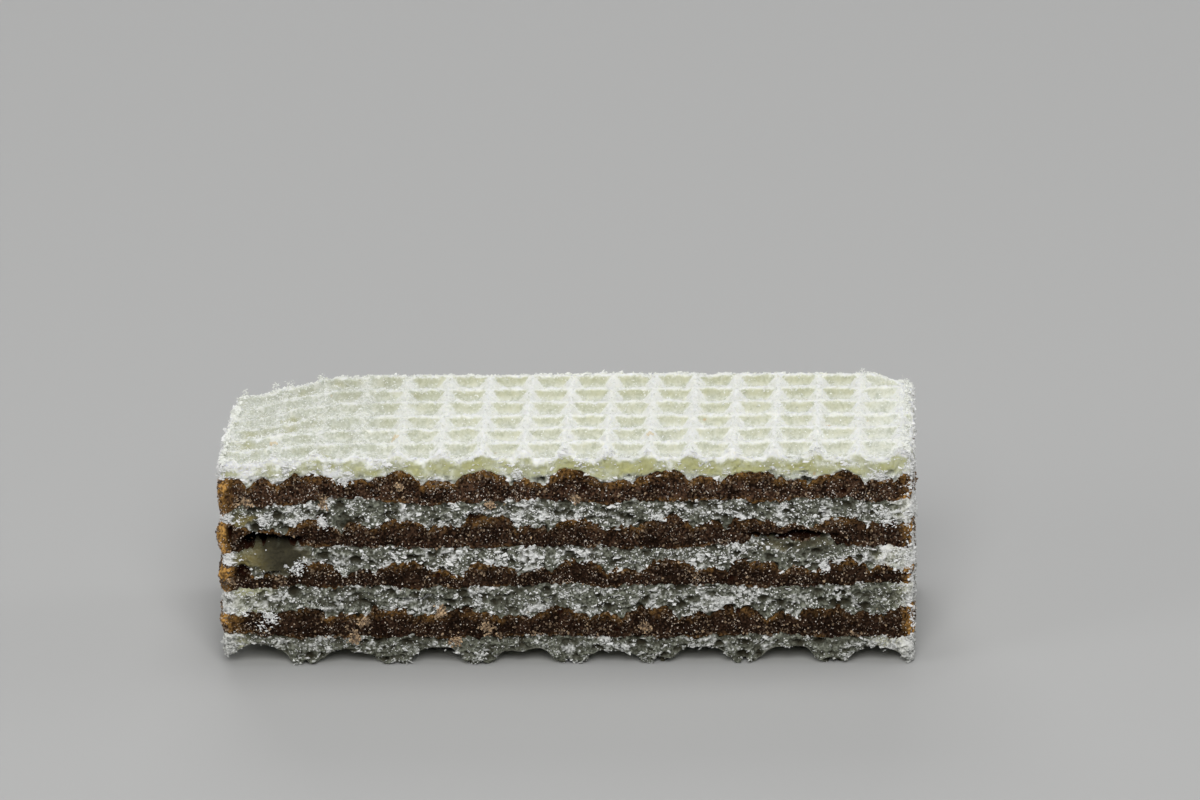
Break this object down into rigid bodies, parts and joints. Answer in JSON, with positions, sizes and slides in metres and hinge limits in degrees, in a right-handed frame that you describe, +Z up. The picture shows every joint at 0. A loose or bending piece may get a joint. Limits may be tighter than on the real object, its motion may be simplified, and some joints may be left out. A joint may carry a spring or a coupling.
{
  "type": "neapolitan wafer",
  "caption": "Bite-size biscuit of thin baked waffle sheets with chocolate cream between them, ribbed on top, with square crumbly cut sides.",
  "frame": {"origin": "centre of the underside, on the surface that the wafer stands on", "axes": "+X along the length, +Y across the depth away from the front cut side, +Z up through the layers"},
  "size_m": [0.049, 0.017, 0.0162],
  "materials": {
    "dough": "dry, pale, floury",
    "cream": "grainy, slightly oily"
  },
  "bodies": {
    "root": {"wafer_sheet_1": "dough", "wafer_sheet_2": "dough", "wafer_sheet_3": "dough", "wafer_sheet_4": "dough", "wafer_sheet_5": "dough", "cream_layer_1": "cream", "cream_layer_2": "cream", "cream_layer_3": "cream", "cream_layer_4": "cream"}
  },
  "joints": []
}
